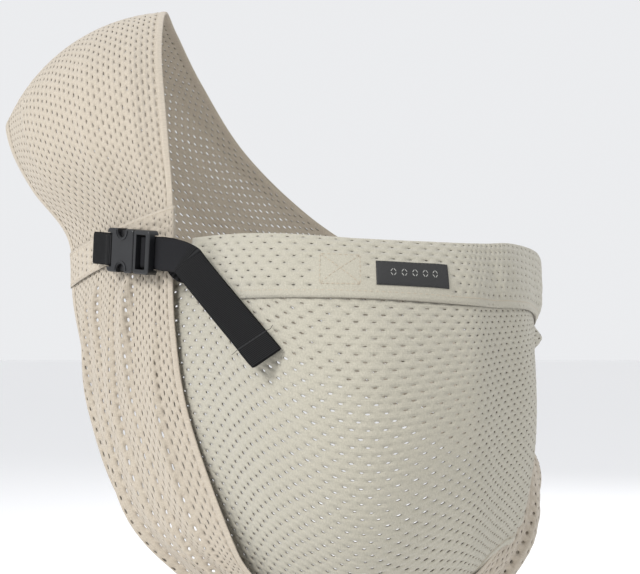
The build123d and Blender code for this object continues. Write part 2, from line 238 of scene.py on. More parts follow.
def make_object(name, points, faces, uv=None, material=None, shade=True):
    """A mesh object from points in millimetres."""
    mesh = bpy.data.meshes.new(name)
    mesh.from_pydata((np.asarray(points) * MM).tolist(), [], [list(map(int, f)) for f in faces])
    if uv is not None:
        layer = mesh.uv_layers.new(name="cloth")
        corners = np.zeros(len(mesh.loops), int)
        mesh.loops.foreach_get("vertex_index", corners)
        layer.data.foreach_set("uv", np.asarray(uv)[corners].astype(np.float32).ravel())
    mesh.update()
    if shade:
        mesh.shade_smooth()
    thing = bpy.data.objects.new(name, mesh)
    bpy.context.collection.objects.link(thing)
    if material:
        mesh.materials.append(material)
    return thing


def face_out(thing, cloth_normal_at_start):
    """Flips a mesh whose first face looks the wrong way."""
    thing.data.update()
    if thing.data.polygons[0].normal.dot(Vector(cloth_normal_at_start)) < 0:
        thing.data.flip_normals()


def lace(name, cloth, columns, cells, material, hole, thickness=0.9):
    """Knitted mesh: a staggered lattice of cells, each with a slit that goes right through.

    hole(u, v) gives the slit's half size across and along the panel in millimetres; 0 leaves a cell plain."""
    half = 2 * cells
    down = np.arange(half + 1) / half
    u_line, v_line = np.meshgrid(np.arange(columns + 1) / columns, down, indexing="ij")
    mid_u, mid_v = np.meshgrid((np.arange(columns) + 0.5) / columns, down, indexing="ij")
    u = [u_line.ravel(), mid_u.ravel()]
    v = [v_line.ravel(), mid_v.ravel()]
    lattice = lambda i, k: i * (half + 1) + k
    middle_base = (columns + 1) * (half + 1)
    middle = lambda j, k: middle_base + j * (half + 1) + k
    count = middle_base + columns * (half + 1)
    columns_of, starts = [], []
    faces = []
    for j in range(columns):
        offset = j % 2
        for k in range(offset, half - 1, 2):
            columns_of.append(j)
            starts.append(k)
        if offset:
            head = [lattice(j, 0), lattice(j + 1, 0), lattice(j + 1, 1), middle(j, 1), lattice(j, 1)]
            k = half - 1
            foot = [lattice(j, k), middle(j, k), lattice(j + 1, k), lattice(j + 1, k + 1), lattice(j, k + 1)]
            faces += [head, foot]
    j, k = np.array(columns_of), np.array(starts)
    centre_u = (j + 0.5 + rng.uniform(-0.05, 0.05, len(j))) / columns
    centre_v = (k + 1 + rng.uniform(-0.12, 0.12, len(j))) / half
    across, along = hole(centre_u, centre_v)
    vary = rng.uniform(0.82, 1.12, len(j))
    limit = 0.36 * cloth.width_at(centre_v) / columns
    half_u = np.minimum(across * vary, limit) / cloth.width_at(centre_v)
    half_v = along * vary / cloth.length
    ring = np.radians([-135, -90, -45, 0, 45, 90, 135, 180])
    reach = np.where(np.arange(8) % 2 == 0, 0.98, 1.0)
    hole_u = centre_u[:, None] + half_u[:, None] * np.cos(ring) * reach
    hole_v = centre_v[:, None] + half_v[:, None] * np.sin(ring) * reach
    outer = np.stack(
        [
            lattice(j, k),
            middle(j, k),
            lattice(j + 1, k),
            lattice(j + 1, k + 1),
            lattice(j + 1, k + 2),
            middle(j, k + 2),
            lattice(j, k + 2),
            lattice(j, k + 1),
        ],
        axis=1,
    )
    open_cell = (half_u > 1e-4) & (half_v > 1e-5)
    inner = np.full((len(j), 8), -1)
    inner[open_cell] = count + np.arange(open_cell.sum() * 8).reshape(-1, 8)
    u.append(hole_u[open_cell].ravel())
    v.append(hole_v[open_cell].ravel())
    for cell in range(len(j)):
        ring_out = outer[cell]
        if not open_cell[cell]:
            faces.append(ring_out)
            continue
        ring_in = inner[cell]
        for a in range(8):
            b = (a + 1) % 8
            faces.append([ring_out[a], ring_out[b], ring_in[b], ring_in[a]])
    u, v = np.concatenate(u), np.concatenate(v)
    lift = np.zeros(len(u))
    lift[count:] = -0.28
    lift[:count] = rng.uniform(-0.05, 0.05, count)
    points = cloth.at(u, v, lift)
    used = np.unique(np.concatenate([np.asarray(f, int) for f in faces]))
    renumber = np.full(len(u), -1)
    renumber[used] = np.arange(len(used))
    faces = [renumber[np.asarray(f, int)] for f in faces]
    uv = np.stack([u * cloth.width.mean(), v * cloth.length], axis=1)[used]
    thing = make_object(name, points[used], faces, uv, material)
    face_out(thing, cloth.at(0.02, 0.01, 1)[0] - cloth.at(0.02, 0.01, 0)[0])
    solid = thing.modifiers.new("thickness", "SOLIDIFY")
    solid.thickness = thickness * MM
    solid.offset = -1
    solid.use_even_offset = False
    # the rim faces of the Solidify, the walls inside each hole, get a darker knit as painted shade
    thing.data.materials.append(shaded_hole_wall)
    solid.material_offset_rim = 1
    return thing


def tube_along(points, across, width, thickness, ribs=0.0, rib_pitch=RIB_PITCH, step=0.2, rib_from=0.0):
    """Points and faces of flat webbing along a line, with cross ribs of a given height."""
    line = np.array(points, float)
    way = np.array(across, float)
    fine_t = np.linspace(0, len(line) - 1, len(line) * 40)

    def through(rows):
        out = []
        for t in fine_t:
            i = min(int(t), len(rows) - 2)
            last = rows[min(i + 2, len(rows) - 1)]
            out.append(curve_at(rows[max(i - 1, 0)], rows[i], rows[i + 1], last, t - i))
        return np.array(out)

    centre, way = through(line), through(way)
    run = np.concatenate([[0], np.cumsum(np.linalg.norm(np.diff(centre, axis=0), axis=1))])
    places = np.arange(0, run[-1], step)
    centre = np.stack([np.interp(places, run, centre[:, a]) for a in range(3)], axis=1)
    way = np.stack([np.interp(places, run, way[:, a]) for a in range(3)], axis=1)
    onward = np.gradient(centre, axis=0)
    onward /= np.linalg.norm(onward, axis=1, keepdims=True)
    way -= onward * (way * onward).sum(1, keepdims=True)
    way /= np.linalg.norm(way, axis=1, keepdims=True)
    out = np.cross(way, onward)
    shares = np.linspace(-1, 1, 15)
    edge = (1 - shares**10) ** 0.5
    x = np.concatenate([shares, shares[::-1][1:-1]]) * width / 2
    y = np.concatenate([0.1 + 0.9 * edge, -(0.1 + 0.9 * edge)[::-1][1:-1]]) * thickness / 2
    wave = ribs * (0.5 - 0.5 * np.cos(2 * pi * places / rib_pitch)) * smooth(places, rib_from, rib_from + 6)
    y_all = y[None, :] + np.sign(y)[None, :] * wave[:, None] * (np.abs(x) < width * 0.47)[None, :]
    ring = centre[:, None] + way[:, None] * x[None, :, None] + out[:, None] * y_all[..., None]
    n, m = ring.shape[:2]
    faces = []
    for i in range(n - 1):
        for a in range(m):
            b = (a + 1) % m
            faces.append([i * m + a, i * m + b, (i + 1) * m + b, (i + 1) * m + a])
    faces += [list(range(m))[::-1], [(n - 1) * m + a for a in range(m)]]
    uv = np.stack([np.tile(x, (n, 1)), np.tile(places[:, None], (1, m))], axis=2).reshape(-1, 2)
    return ring.reshape(-1, 3), faces, uv, places[-1]


# ---- materials -----------------------------------------------------------------------------------
def new_material(name):
    material = bpy.data.materials.new(name)
    material.use_nodes = True
    tree = material.node_tree
    return material, tree, tree.nodes["Principled BSDF"]


def node(tree, kind, **values):
    made = tree.nodes.new(kind)
    for key, value in values.items():
        if key in made.inputs:
            made.inputs[key].default_value = value
        else:
            setattr(made, key, value)
    return made


def mesh_fabric(name, light, dark, roughness=0.92):
    """Fine melange knit: columns of small stitches, flecked yarn and slow changes of tone."""
    material, tree, shader = new_material(name)
    link = tree.links.new
    uv = node(tree, "ShaderNodeUVMap", uv_map="cloth")
    fleck = node(tree, "ShaderNodeTexNoise", Scale=1.1, Detail=5.0, Roughness=0.75)
    slow = node(tree, "ShaderNodeTexNoise", Scale=0.035, Detail=2.0)
    wale = node(tree, "ShaderNodeTexWave", Scale=0.42, Distortion=1.4, Detail=2.0)
    wale.bands_direction = "X"
    course = node(tree, "ShaderNodeTexWave", Scale=0.55, Distortion=1.2, Detail=1.0)
    course.bands_direction = "Y"
    for source in (fleck, slow, wale, course):
        link(uv.outputs["UV"], source.inputs["Vector"])
    ramp = node(tree, "ShaderNodeValToRGB")
    ramp.color_ramp.elements[0].position, ramp.color_ramp.elements[1].position = 0.32, 0.66
    ramp.color_ramp.elements[0].color, ramp.color_ramp.elements[1].color = (*dark, 1), (*light, 1)
    link(fleck.outputs["Fac"], ramp.inputs["Fac"])
    tone = node(tree, "ShaderNodeMix", data_type="RGBA", blend_type="MULTIPLY")
    tone.inputs["Factor"].default_value = 0.35
    link(ramp.outputs["Color"], tone.inputs["A"])
    slow_ramp = node(tree, "ShaderNodeValToRGB")
    slow_ramp.color_ramp.elements[0].color = (0.80, 0.80, 0.78, 1)
    slow_ramp.color_ramp.elements[1].color = (1, 1, 1, 1)
    link(slow.outputs["Fac"], slow_ramp.inputs["Fac"])
    link(slow_ramp.outputs["Color"], tone.inputs["B"])
    knit = node(tree, "ShaderNodeMath", operation="MULTIPLY")
    link(wale.outputs["Fac"], knit.inputs[0])
    link(course.outputs["Fac"], knit.inputs[1])
    height = node(tree, "ShaderNodeMath", operation="ADD")
    link(knit.outputs[0], height.inputs[0])
    link(fleck.outputs["Fac"], height.inputs[1])
    relief = node(tree, "ShaderNodeBump", Strength=0.5, Distance=0.0003)
    link(height.outputs[0], relief.inputs["Height"])
    link(relief.outputs["Normal"], shader.inputs["Normal"])
    link(tone.outputs["Result"], shader.inputs["Base Color"])
    shader.inputs["Roughness"].default_value = roughness
    shader.inputs["Specular IOR Level"].default_value = 0.18
    shader.inputs["Sheen Weight"].default_value = 0.25
    shader.inputs["Sheen Roughness"].default_value = 0.6
    return material


def webbing_material(name, ribbed_from=-10.0):
    """Black polyester webbing: cross ribs past a given length, with painted shade in their grooves, and a
    smoother face before it, made paler by a painted sheen.
    """
    material, tree, shader = new_material(name)
    link = tree.links.new
    uv = node(tree, "ShaderNodeUVMap", uv_map="cloth")
    parts = node(tree, "ShaderNodeSeparateXYZ")
    link(uv.outputs["UV"], parts.inputs["Vector"])
    ribbed = node(tree, "ShaderNodeMapRange")
    ribbed.inputs["From Min"].default_value = ribbed_from
    ribbed.inputs["From Max"].default_value = ribbed_from + 3.0
    link(parts.outputs["Y"], ribbed.inputs["Value"])
    rib = node(tree, "ShaderNodeTexWave", Scale=pi / 10 / RIB_PITCH, Distortion=0.25, Detail=1.0)
    rib.bands_direction = "Y"
    yarn = node(tree, "ShaderNodeTexWave", Scale=0.42, Distortion=0.8, Detail=1.0)
    yarn.bands_direction = "X"
    fuzz = node(tree, "ShaderNodeTexNoise", Scale=2.2, Detail=4.0)
    for source in (rib, yarn, fuzz):
        link(uv.outputs["UV"], source.inputs["Vector"])
    # painted sheen: the smooth face before the ribs is toned paler
    painted_sheen_tone = node(tree, "ShaderNodeValToRGB")
    painted_sheen_tone.color_ramp.elements[0].color = (0.005, 0.005, 0.006, 1)
    painted_sheen_tone.color_ramp.elements[1].color = (0.018, 0.018, 0.020, 1)
    link(fuzz.outputs["Fac"], painted_sheen_tone.inputs["Fac"])
    # the rib stripes are darkest in the grooves and lightest on the crests of the modelled ribs: painted
    # shade and light
    painted_rib_shade_tone = node(tree, "ShaderNodeValToRGB")
    painted_rib_shade_tone.color_ramp.elements[0].color = (0.001, 0.001, 0.001, 1)
    painted_rib_shade_tone.color_ramp.elements[1].color = (0.020, 0.020, 0.021, 1)
    link(rib.outputs["Fac"], painted_rib_shade_tone.inputs["Fac"])
    tone = node(tree, "ShaderNodeMix", data_type="RGBA")
    link(ribbed.outputs["Result"], tone.inputs["Factor"])
    link(painted_sheen_tone.outputs["Color"], tone.inputs["A"])
    link(painted_rib_shade_tone.outputs["Color"], tone.inputs["B"])
    link(tone.outputs["Result"], shader.inputs["Base Color"])
    relief = node(tree, "ShaderNodeBump", Strength=0.6, Distance=0.0002)
    link(yarn.outputs["Fac"], relief.inputs["Height"])
    link(relief.outputs["Normal"], shader.inputs["Normal"])
    shader.inputs["Roughness"].default_value = 0.75
    shader.inputs["Specular IOR Level"].default_value = 0.12
    return material


def plastic_material(name, tint):
    """Moulded acetal: a fine spark texture, with slightly polished high spots."""
    material, tree, shader = new_material(name)
    link = tree.links.new
    place = node(tree, "ShaderNodeTexCoord")
    spark = node(tree, "ShaderNodeTexNoise", Scale=2600.0, Detail=3.0)
    smear = node(tree, "ShaderNodeTexNoise", Scale=120.0, Detail=2.0)
    for source in (spark, smear):
        link(place.outputs["Object"], source.inputs["Vector"])
    colour = node(tree, "ShaderNodeValToRGB")
    colour.color_ramp.elements[0].color = (*[c * 0.8 for c in tint], 1)
    colour.color_ramp.elements[1].color = (*[c * 1.25 for c in tint], 1)
    link(smear.outputs["Fac"], colour.inputs["Fac"])
    link(colour.outputs["Color"], shader.inputs["Base Color"])
    rough = node(tree, "ShaderNodeMapRange")
    rough.inputs["To Min"].default_value = 0.28
    rough.inputs["To Max"].default_value = 0.42
    link(smear.outputs["Fac"], rough.inputs["Value"])
    link(rough.outputs["Result"], shader.inputs["Roughness"])
    relief = node(tree, "ShaderNodeBump", Strength=0.25, Distance=0.00005)
    link(spark.outputs["Fac"], relief.inputs["Height"])
    link(relief.outputs["Normal"], shader.inputs["Normal"])
    return material


def thread_material(name, tint):
    material, tree, shader = new_material(name)
    link = tree.links.new
    place = node(tree, "ShaderNodeTexCoord")
    twist = node(tree, "ShaderNodeTexNoise", Scale=3000.0, Detail=2.0)
    link(place.outputs["Object"], twist.inputs["Vector"])
    ramp = node(tree, "ShaderNodeValToRGB")
    ramp.color_ramp.elements[0].color = (*[c * 0.75 for c in tint], 1)
    ramp.color_ramp.elements[1].color = (*tint, 1)
    link(twist.outputs["Fac"], ramp.inputs["Fac"])
    link(ramp.outputs["Color"], shader.inputs["Base Color"])
    shader.inputs["Roughness"].default_value = 0.6
    return material


BAND_LIGHT, BAND_DARK = (0.53, 0.468, 0.382), (0.40, 0.348, 0.28)
POUCH_LIGHT, POUCH_DARK = (0.475, 0.447, 0.368), (0.345, 0.324, 0.263)
band_fabric = mesh_fabric("band_mesh_knit", BAND_LIGHT, BAND_DARK)
pouch_fabric = mesh_fabric("pouch_mesh_knit", POUCH_LIGHT, POUCH_DARK)
# the walls of the holes take a much darker copy of the knit: painted shade inside the holes
shaded_hole_wall = mesh_fabric("hole_wall_painted_shade_knit", (0.20, 0.17, 0.125), (0.12, 0.10, 0.07))
webbing = webbing_material("black_webbing")
# the tail's first 46 mm carry the painted sheen, and the rest the painted rib shade
tail_webbing = webbing_material("tail_webbing", 46.0)
plastic = plastic_material("charcoal_acetal", (0.011, 0.0115, 0.013))
# the prongs take a darker copy of the same acetal: painted shade
shaded_prong_plastic = plastic_material("prong_acetal_painted_shade", (0.007, 0.007, 0.008))
thread = thread_material("beige_thread", (0.50, 0.43, 0.33))
dark_thread = thread_material("black_thread", (0.02, 0.02, 0.021))
pale_thread = thread_material("pale_woven_thread", (0.45, 0.45, 0.42))


# ---- camera, lights and floor --------------------------------------------------------------------
CAMERA = Vector((0.158, -1.5, -0.162))
camera_data = bpy.data.cameras.new("camera")
camera_data.lens, camera_data.sensor_width = 128, 36
camera_data.clip_start = 0.05
camera = bpy.data.objects.new("camera", camera_data)
camera.location = CAMERA
camera.rotation_euler = (radians(90), 0, 0)
bpy.context.collection.objects.link(camera)
bpy.context.scene.camera = camera


def soft_light(name, place, aim, size, power):
    data = bpy.data.lights.new(name, "AREA")
    data.shape, data.size, data.energy = "SQUARE", size, power
    lamp = bpy.data.objects.new(name, data)
    lamp.location = place
    lamp.rotation_euler = (Vector(aim) - Vector(place)).to_track_quat("-Z", "Y").to_euler()
    bpy.context.collection.objects.link(lamp)


AIM = (0.15, 0, -0.18)
soft_light("key_light", (-1.1, -1.3, 1.0), AIM, 0.6, 31)
soft_light("fill_light", (1.7, -1.5, 0.5), AIM, 1.4, 5)
soft_light("back_light", (0.9, 1.7, 0.9), AIM, 1.2, 16)
world = bpy.data.worlds.new("studio")
world.use_nodes = True
world.node_tree.nodes["Background"].inputs["Color"].default_value = (0.97, 0.98, 1.0, 1)
world.node_tree.nodes["Background"].inputs["Strength"].default_value = 0.86
bpy.context.scene.world = world
bpy.context.scene.view_settings.view_transform = "Standard"

floor_material, floor_tree, floor_shader = new_material("pale_floor")
floor_noise = node(floor_tree, "ShaderNodeTexNoise", Scale=3.0)
floor_ramp = node(floor_tree, "ShaderNodeValToRGB")
floor_ramp.color_ramp.elements[0].color = (0.92, 0.92, 0.93, 1)
floor_ramp.color_ramp.elements[1].color = (0.95, 0.95, 0.95, 1)
floor_tree.links.new(floor_noise.outputs["Fac"], floor_ramp.inputs["Fac"])
floor_tree.links.new(floor_ramp.outputs["Color"], floor_shader.inputs["Base Color"])
FLOOR = CAD_BOX[0].z / MM - 120
floor = make_object(
    "floor", [(-9e3, -9e3, FLOOR), (9e3, -9e3, FLOOR), (9e3, 9e3, FLOOR), (-9e3, 9e3, FLOOR)], [(0, 1, 2, 3)]
)
floor.data.materials.append(floor_material)


# ---- the loop's three panels ---------------------------------------------------------------------
GATHERS = ((0.15, 3.2), (0.33, 5.2), (0.51, 3.8), (0.70, 5.2), (0.86, 3.4))


def fold(u, crest, height, rise=0.11, drop=0.022):
    """A fold that swells gently up to its crest and drops steeply behind it."""
    return height * smooth(u, crest - rise, crest) * (1 - smooth(u, crest, crest + drop))


def loop_folds(place, u):
    """Depth of the lengthwise folds of the loop, in millimetres."""
    gathered = smooth(place, 3.75, 4.4) * (1 - smooth(place, 13.5, 15.5))
    drift = 0.02 * np.sin(place * 1.3)
    lift = np.zeros_like(u)
    for crest, height in GATHERS:
        strength = gathered * (0.65 + 0.35 * sin(place * 1.7 + crest * 20))
        crest = crest + drift + 0.03 * sin(place * 0.9 + crest * 9)
        lift += fold(1 - u, 1 - crest, 1.3 * height * strength, 0.13, 0.035)
    crisp = smooth(place, 11.2, 12.2) * (1 - smooth(place, 13.4, 14.2))
    for centre, height in ((0.22, 3.4), (0.29, -2.2), (0.42, 3.0), (0.49, -2.0)):
        lift += height * crisp * bump(u, centre + 0.02 * np.sin(place * 2), 0.026)
    fan = smooth(place, 1.4, 3.0) * (1 - smooth(place, 3.25, 3.6))
    for centre, height in ((0.16, 1.2), (0.30, -1.1), (0.46, 1.3), (0.60, -1.0)):
        lift += height * fan * bump(u, centre, 0.055)
    # the outer part turns away over the shoulder, behind a crease
    shoulder = smooth(place, 0.1, 0.9) * (1 - smooth(place, 2.5, 3.2))
    lift += fold(u, 0.74 + 0.04 * sin(place), 3.0 * shoulder, 0.3, 0.02)
    lift += fold(u, 0.36 + 0.03 * place, 1.3 * shoulder, 0.12, 0.04)
    lift += fold(u, 0.14 + 0.01 * place, 1.2 * shoulder, 0.08, 0.03)
    over_back = smooth(place, 14.5, 16.0) * (1 - smooth(place, 19.6, 20.6))
    for centre, height in ((0.18, 1.5), (0.34, -1.3), (0.5, 1.8), (0.64, -1.4), (0.8, 1.6)):
        lift += height * over_back * bump(u, centre + 0.05 * np.sin(place), 0.06)
    return lift


def loop_panel(first, last):
    """A panel of the loop, whose far end is tucked under the next one."""
    tuck = 0.07

    def profile(u, v, length):
        place = first + (last + tuck - first) * v
        near_keeper = bump(place, 3.52, 0.42)
        tucked = 1.1 * smooth(place, last - 0.06, last)
        return u, loop_folds(place, u) * (1 - 0.85 * near_keeper) - 0.3 * near_keeper - tucked

    return Cloth(LOOP, first, last + tuck, profile).turn_outward((150, 0, -190))


def slit(across, along):
    """Slits that fade out beside the panel's two edges."""
    def hole(u, v):
        inside = (u > 0.035) & (u < 0.965) & (v > 0.008) & (v < 0.992)
        return np.where(inside, across, 0.0), np.where(inside, along, 0.0)

    return hole


front_cloth = loop_panel(0, FRONT_END)
front = lace("front_band_mesh", front_cloth, 38, 62, band_fabric, slit(0.36, 1.38))
seat_cloth = loop_panel(FRONT_END, SEAT_END)
seat = lace("seat_band_mesh", seat_cloth, 34, 40, band_fabric, slit(0.36, 1.38))
back_cloth = loop_panel(SEAT_END, BACK_END)
back = lace("back_band_mesh", back_cloth, 38, 62, band_fabric, slit(0.36, 1.38))


def edge_fold(name, cloth, side, material, width=4.2, height=0.75):
    """The folded and sewn edge of a panel, as a soft flattened roll along it."""
    steps = int(cloth.length / 2.2)
    v = np.linspace(0, 1, steps)
    turns = np.linspace(0, 2 * pi, 15)[:-1]
    share = width / cloth.width_at(v)
    u_mid = share / 2 - 0.4 / cloth.width_at(v) if side == 0 else 1 - share / 2 + 0.4 / cloth.width_at(v)
    ring = []
    for angle in turns:
        reach = np.sign(cos(angle)) * abs(cos(angle)) ** 0.6
        rise = np.sign(sin(angle)) * abs(sin(angle)) ** 0.7
        u = u_mid + reach * share / 2
        base = cloth.at(np.clip(u, 0, 1), v, rise * height - 0.42)
        rim, within = (0.02, 0.04) if side == 0 else (0.98, 0.96)
        side_way = cloth.at(np.full(steps, rim), v) - cloth.at(np.full(steps, within), v)
        side_way /= np.linalg.norm(side_way, axis=1, keepdims=True)
        beyond = np.maximum(-u, u - 1) * cloth.width_at(v)
        ring.append(base + side_way * np.maximum(beyond, 0)[:, None])
    ring = np.stack(ring, axis=1)
    m = len(turns)
    faces = []
    for i in range(steps - 1):
        for a in range(m):
            b = (a + 1) % m
            faces.append([i * m + a, i * m + b, (i + 1) * m + b, (i + 1) * m + a])
    faces += [list(range(m)), [(steps - 1) * m + a for a in range(m)][::-1]]
    round_it = np.tile(np.arange(m) * width / m, (steps, 1))
    along_it = np.tile((v * cloth.length)[:, None], (1, m))
    uv = np.stack([round_it, along_it], axis=2)
    return make_object(name, ring.reshape(-1, 3), faces, uv.reshape(-1, 2), material)


edges = {}
for name, cloth in (("front", front_cloth), ("seat", seat_cloth), ("back", back_cloth)):
    for side, word in ((0, "inner"), (1, "outer")):
        edges[name, side] = edge_fold(f"{name}_band_{word}_edge", cloth, side, band_fabric)


# ---- pouch and head support ----------------------------------------------------------------------
def pouch_profile(u, v, length):
    place = POUCH_END * v
    top = 32 / length * smooth(place, 0.95, 2.6)
    share = top + (1 - top) * u * (1 + 0.05 * bump(place, 4.3, 1.1))
    tension = smooth(u, 0.02, 0.25)
    lift = 0.5 * tension * bump(place, 1.5, 0.3)
    # pulls that run down from the head support's outer end and along the lower left edge
    lift += 2.2 * smooth(u, 0.35, 0.9) * bump(place + 1.2 * u, 6.9, 0.15)
    lift += 1.8 * smooth(u, 0.45, 0.95) * bump(place + 1.4 * u, 7.6, 0.14)
    lift -= 1.4 * smooth(u, 0.3, 0.8) * bump(place + 1.3 * u, 7.25, 0.12)
    lift += 1.0 * smooth(u, 0.5, 0.95) * bump(place - 0.9 * u, 2.0, 0.22)
    lift -= 0.8 * smooth(u, 0.5, 0.95) * bump(place - 0.9 * u, 2.5, 0.22)
    # the small dart beside the head support's lower corner
    lift += 6.5 * bump(u, 0.19, 0.05) * bump(place, 6.85, 0.16)
    lift -= 2.4 * bump(u, 0.29, 0.05) * bump(place, 6.8, 0.2)
    gathered = smooth(place, 7.6, 8.6)
    for centre in (0.2, 0.42, 0.64, 0.85):
        lift += 1.1 * gathered * bump(u, centre + 0.03 * sin(place * 2), 0.06)
    # the top edge runs a little lower, inside the head support
    covered = smooth(place, 0.85, 1.1) * (1 - smooth(share * length, 26, 40))
    return share, lift - 0.2 - 1.1 * covered


pouch_cloth = Cloth(POUCH, 0, POUCH_END, pouch_profile, 140, 400).turn_outward((165, -60, -230))


def pouch_hole(u, v):
    place = POUCH_END * v
    stretched = bump(place, 1.3, 0.9) * 0.55 + bump(u, 0.75, 0.3) * bump(place, 3.2, 1.6) * 0.3
    inside = (u > 0.02) & (u < 0.985) & (v > 0.01) & (v < 0.985)
    return np.where(inside, 0.46 + 0.5 * stretched, 0.0), np.where(inside, 1.34 - 0.1 * stretched, 0.0)


pouch = lace("pouch_mesh", pouch_cloth, 50, 62, pouch_fabric, pouch_hole)

ROLL = HEM_LIFT / 2
HEM_WIDTH = 2 * HEM_HEIGHT + pi * ROLL


def hem_profile(u, v, length):
    """Up the outer layer, over the rolled top, and down the inner layer."""
    along = u * HEM_WIDTH
    place = HEM_START + (HEM_END - HEM_START) * v
    outer = along < HEM_HEIGHT
    inner = along > HEM_HEIGHT + pi * ROLL
    angle = np.clip((along - HEM_HEIGHT) / ROLL, 0, pi)
    puff = 0.9 * np.sin(pi * np.clip(along / HEM_HEIGHT, 0, 1)) * (0.7 + 0.3 * np.sin(place * 2.1))
    sewn = 1 - smooth(along, -2, 13)
    wave = 0.6 * np.sin(place * 7.3) * bump(along, 10, 9)
    wave += 0.5 * np.sin(place * 11.9 + 1) * bump(along, 20, 8)
    wave *= 1 - 0.8 * bump(place, 3.2, 0.9)
    down = np.where(inner, along - HEM_HEIGHT - pi * ROLL, -ROLL * np.sin(angle))
    down = np.where(outer, HEM_HEIGHT - along, down)
    lift = np.where(inner, 0.0, ROLL + ROLL * np.cos(angle))
    lift = np.where(outer, HEM_LIFT + puff + wave - 3.7 * sewn, lift)
    return down / length, lift


hem_cloth = Cloth(POUCH, HEM_START, HEM_END, hem_profile, 150, 330).turn_outward((165, -60, -150))
if ((hem_cloth.grid[100, 20] - np.array((165, -40, -155))) * hem_cloth.normal[100, 20]).sum() < 0:
    hem_cloth.normal = -hem_cloth.normal


def hem_hole(u, v):
    along = u * HEM_WIDTH
    inside = (along > 4) & (v > 0.01) & (v < 0.99)
    place = HEM_START + (HEM_END - HEM_START) * v
    down = HEM_HEIGHT - along
    in_box = (place > STITCH_BOX[0] - 0.03) & (place < STITCH_BOX[1] + 0.03) & (down > 11) & (down < 33)
    under_label = (place > LABEL[0] - 0.02) & (place < LABEL[1] + 0.02) & (down > 15) & (down < 33)
    size = np.where(inside & ~in_box & ~under_label, 1.0, 0.0)
    return 0.34 * size, 0.95 * size


hem = lace("head_support_hem_mesh", hem_cloth, 19, 60, pouch_fabric, hem_hole)


lower_rim = edge_fold("pouch_lower_edge", pouch_cloth, 1, pouch_fabric, width=5.0)

# ---- keeper sleeve -------------------------------------------------------------------------------
def keeper_profile(u, v, length):
    angle = 2 * pi * u
    flat = np.sign(np.sin(angle)) * np.abs(np.sin(angle)) ** 0.28
    pleats = bump(v, 0.28, 0.07) * 0.7 + bump(v, 0.62, 0.06) * 0.8 + bump(v, 0.45, 0.05) * -0.6
    front_side = smooth(np.sin(angle), 0.1, 0.4) * smooth(np.cos(angle), -0.2, 0.6)
    share = 0.5 - (0.5 + 1.5 / length) * np.cos(angle)
    return share, -1.0 + 2.6 * flat + pleats * front_side


keeper_cloth = Cloth(LOOP, KEEPER[0], KEEPER[1], keeper_profile, 200, 60)
if keeper_cloth.normal[30, 50] @ FACE < 0:
    keeper_cloth.normal = -keeper_cloth.normal


def keeper_hole(u, v):
    inside = (v > 0.12) & (v < 0.88) & (u > 0.01) & (u < 0.99)
    return np.where(inside, 0.34, 0.0), np.where(inside, 0.7, 0.0)


keeper = lace("keeper_sleeve_mesh", keeper_cloth, 46, 5, band_fabric, keeper_hole, thickness=0.8)


# ---- stitches, laid on the cloth -----------------------------------------------------------------
def stitches(name, runs, material, length=2.4, thick=0.42, proud=0.12):
    """Small spindle-shaped stitches. Each run is (cloth, u list, v list)."""
    points, faces = [], []
    turns = np.linspace(0, 2 * pi, 7)[:-1]
    stations = ((-0.5, 0.15), (-0.38, 0.8), (-0.15, 1.0), (0.15, 1.0), (0.38, 0.8), (0.5, 0.15))
    for cloth, u_list, v_list in runs:
        here = cloth.at(u_list, v_list, proud)
        above = cloth.at(u_list, v_list, proud + 1)
        for a, b, over in zip(here, here[1:], above):
            middle, way = (a + b) / 2, b - a
            way = way / np.linalg.norm(way)
            out = over - a
            side = np.cross(way, out)
            base = len(points)
            for shift, girth in stations:
                for angle in turns:
                    reach = side * cos(angle) + out * sin(angle) * 0.7
                    dip = -0.25 * (2 * shift) ** 2
                    points.append(middle + way * shift * length + out * dip + reach * girth * thick / 2)
            m = len(turns)
            for i in range(len(stations) - 1):
                for k in range(m):
                    n = (k + 1) % m
                    ring, onward = base + i * m, base + (i + 1) * m
                    faces.append([ring + k, ring + n, onward + n, onward + k])
            faces.append([base + k for k in range(m)][::-1])
            faces.append([base + (len(stations) - 1) * m + k for k in range(m)])
    return make_object(name, points, faces, None, material)


def line(cloth, start, end, pitch=3.4):
    """u and v of evenly spaced points on a straight line over a cloth."""
    a, b = cloth.at(start[0], start[1])[0], cloth.at(end[0], end[1])[0]
    fine = np.linspace(0, 1, 200)
    path = cloth.at(start[0] + (end[0] - start[0]) * fine, start[1] + (end[1] - start[1]) * fine)
    total = np.linalg.norm(np.diff(path, axis=0), axis=1).sum()
    share = np.linspace(0, 1, max(int(total / pitch), 1) + 1)
    return cloth, start[0] + (end[0] - start[0]) * share, start[1] + (end[1] - start[1]) * share


def hem_uv(place, down):
    """Where a point of the head support's outer layer lies on its cloth: down is from the top edge."""
    return (HEM_HEIGHT - down) / HEM_WIDTH, (place - HEM_START) / (HEM_END - HEM_START)


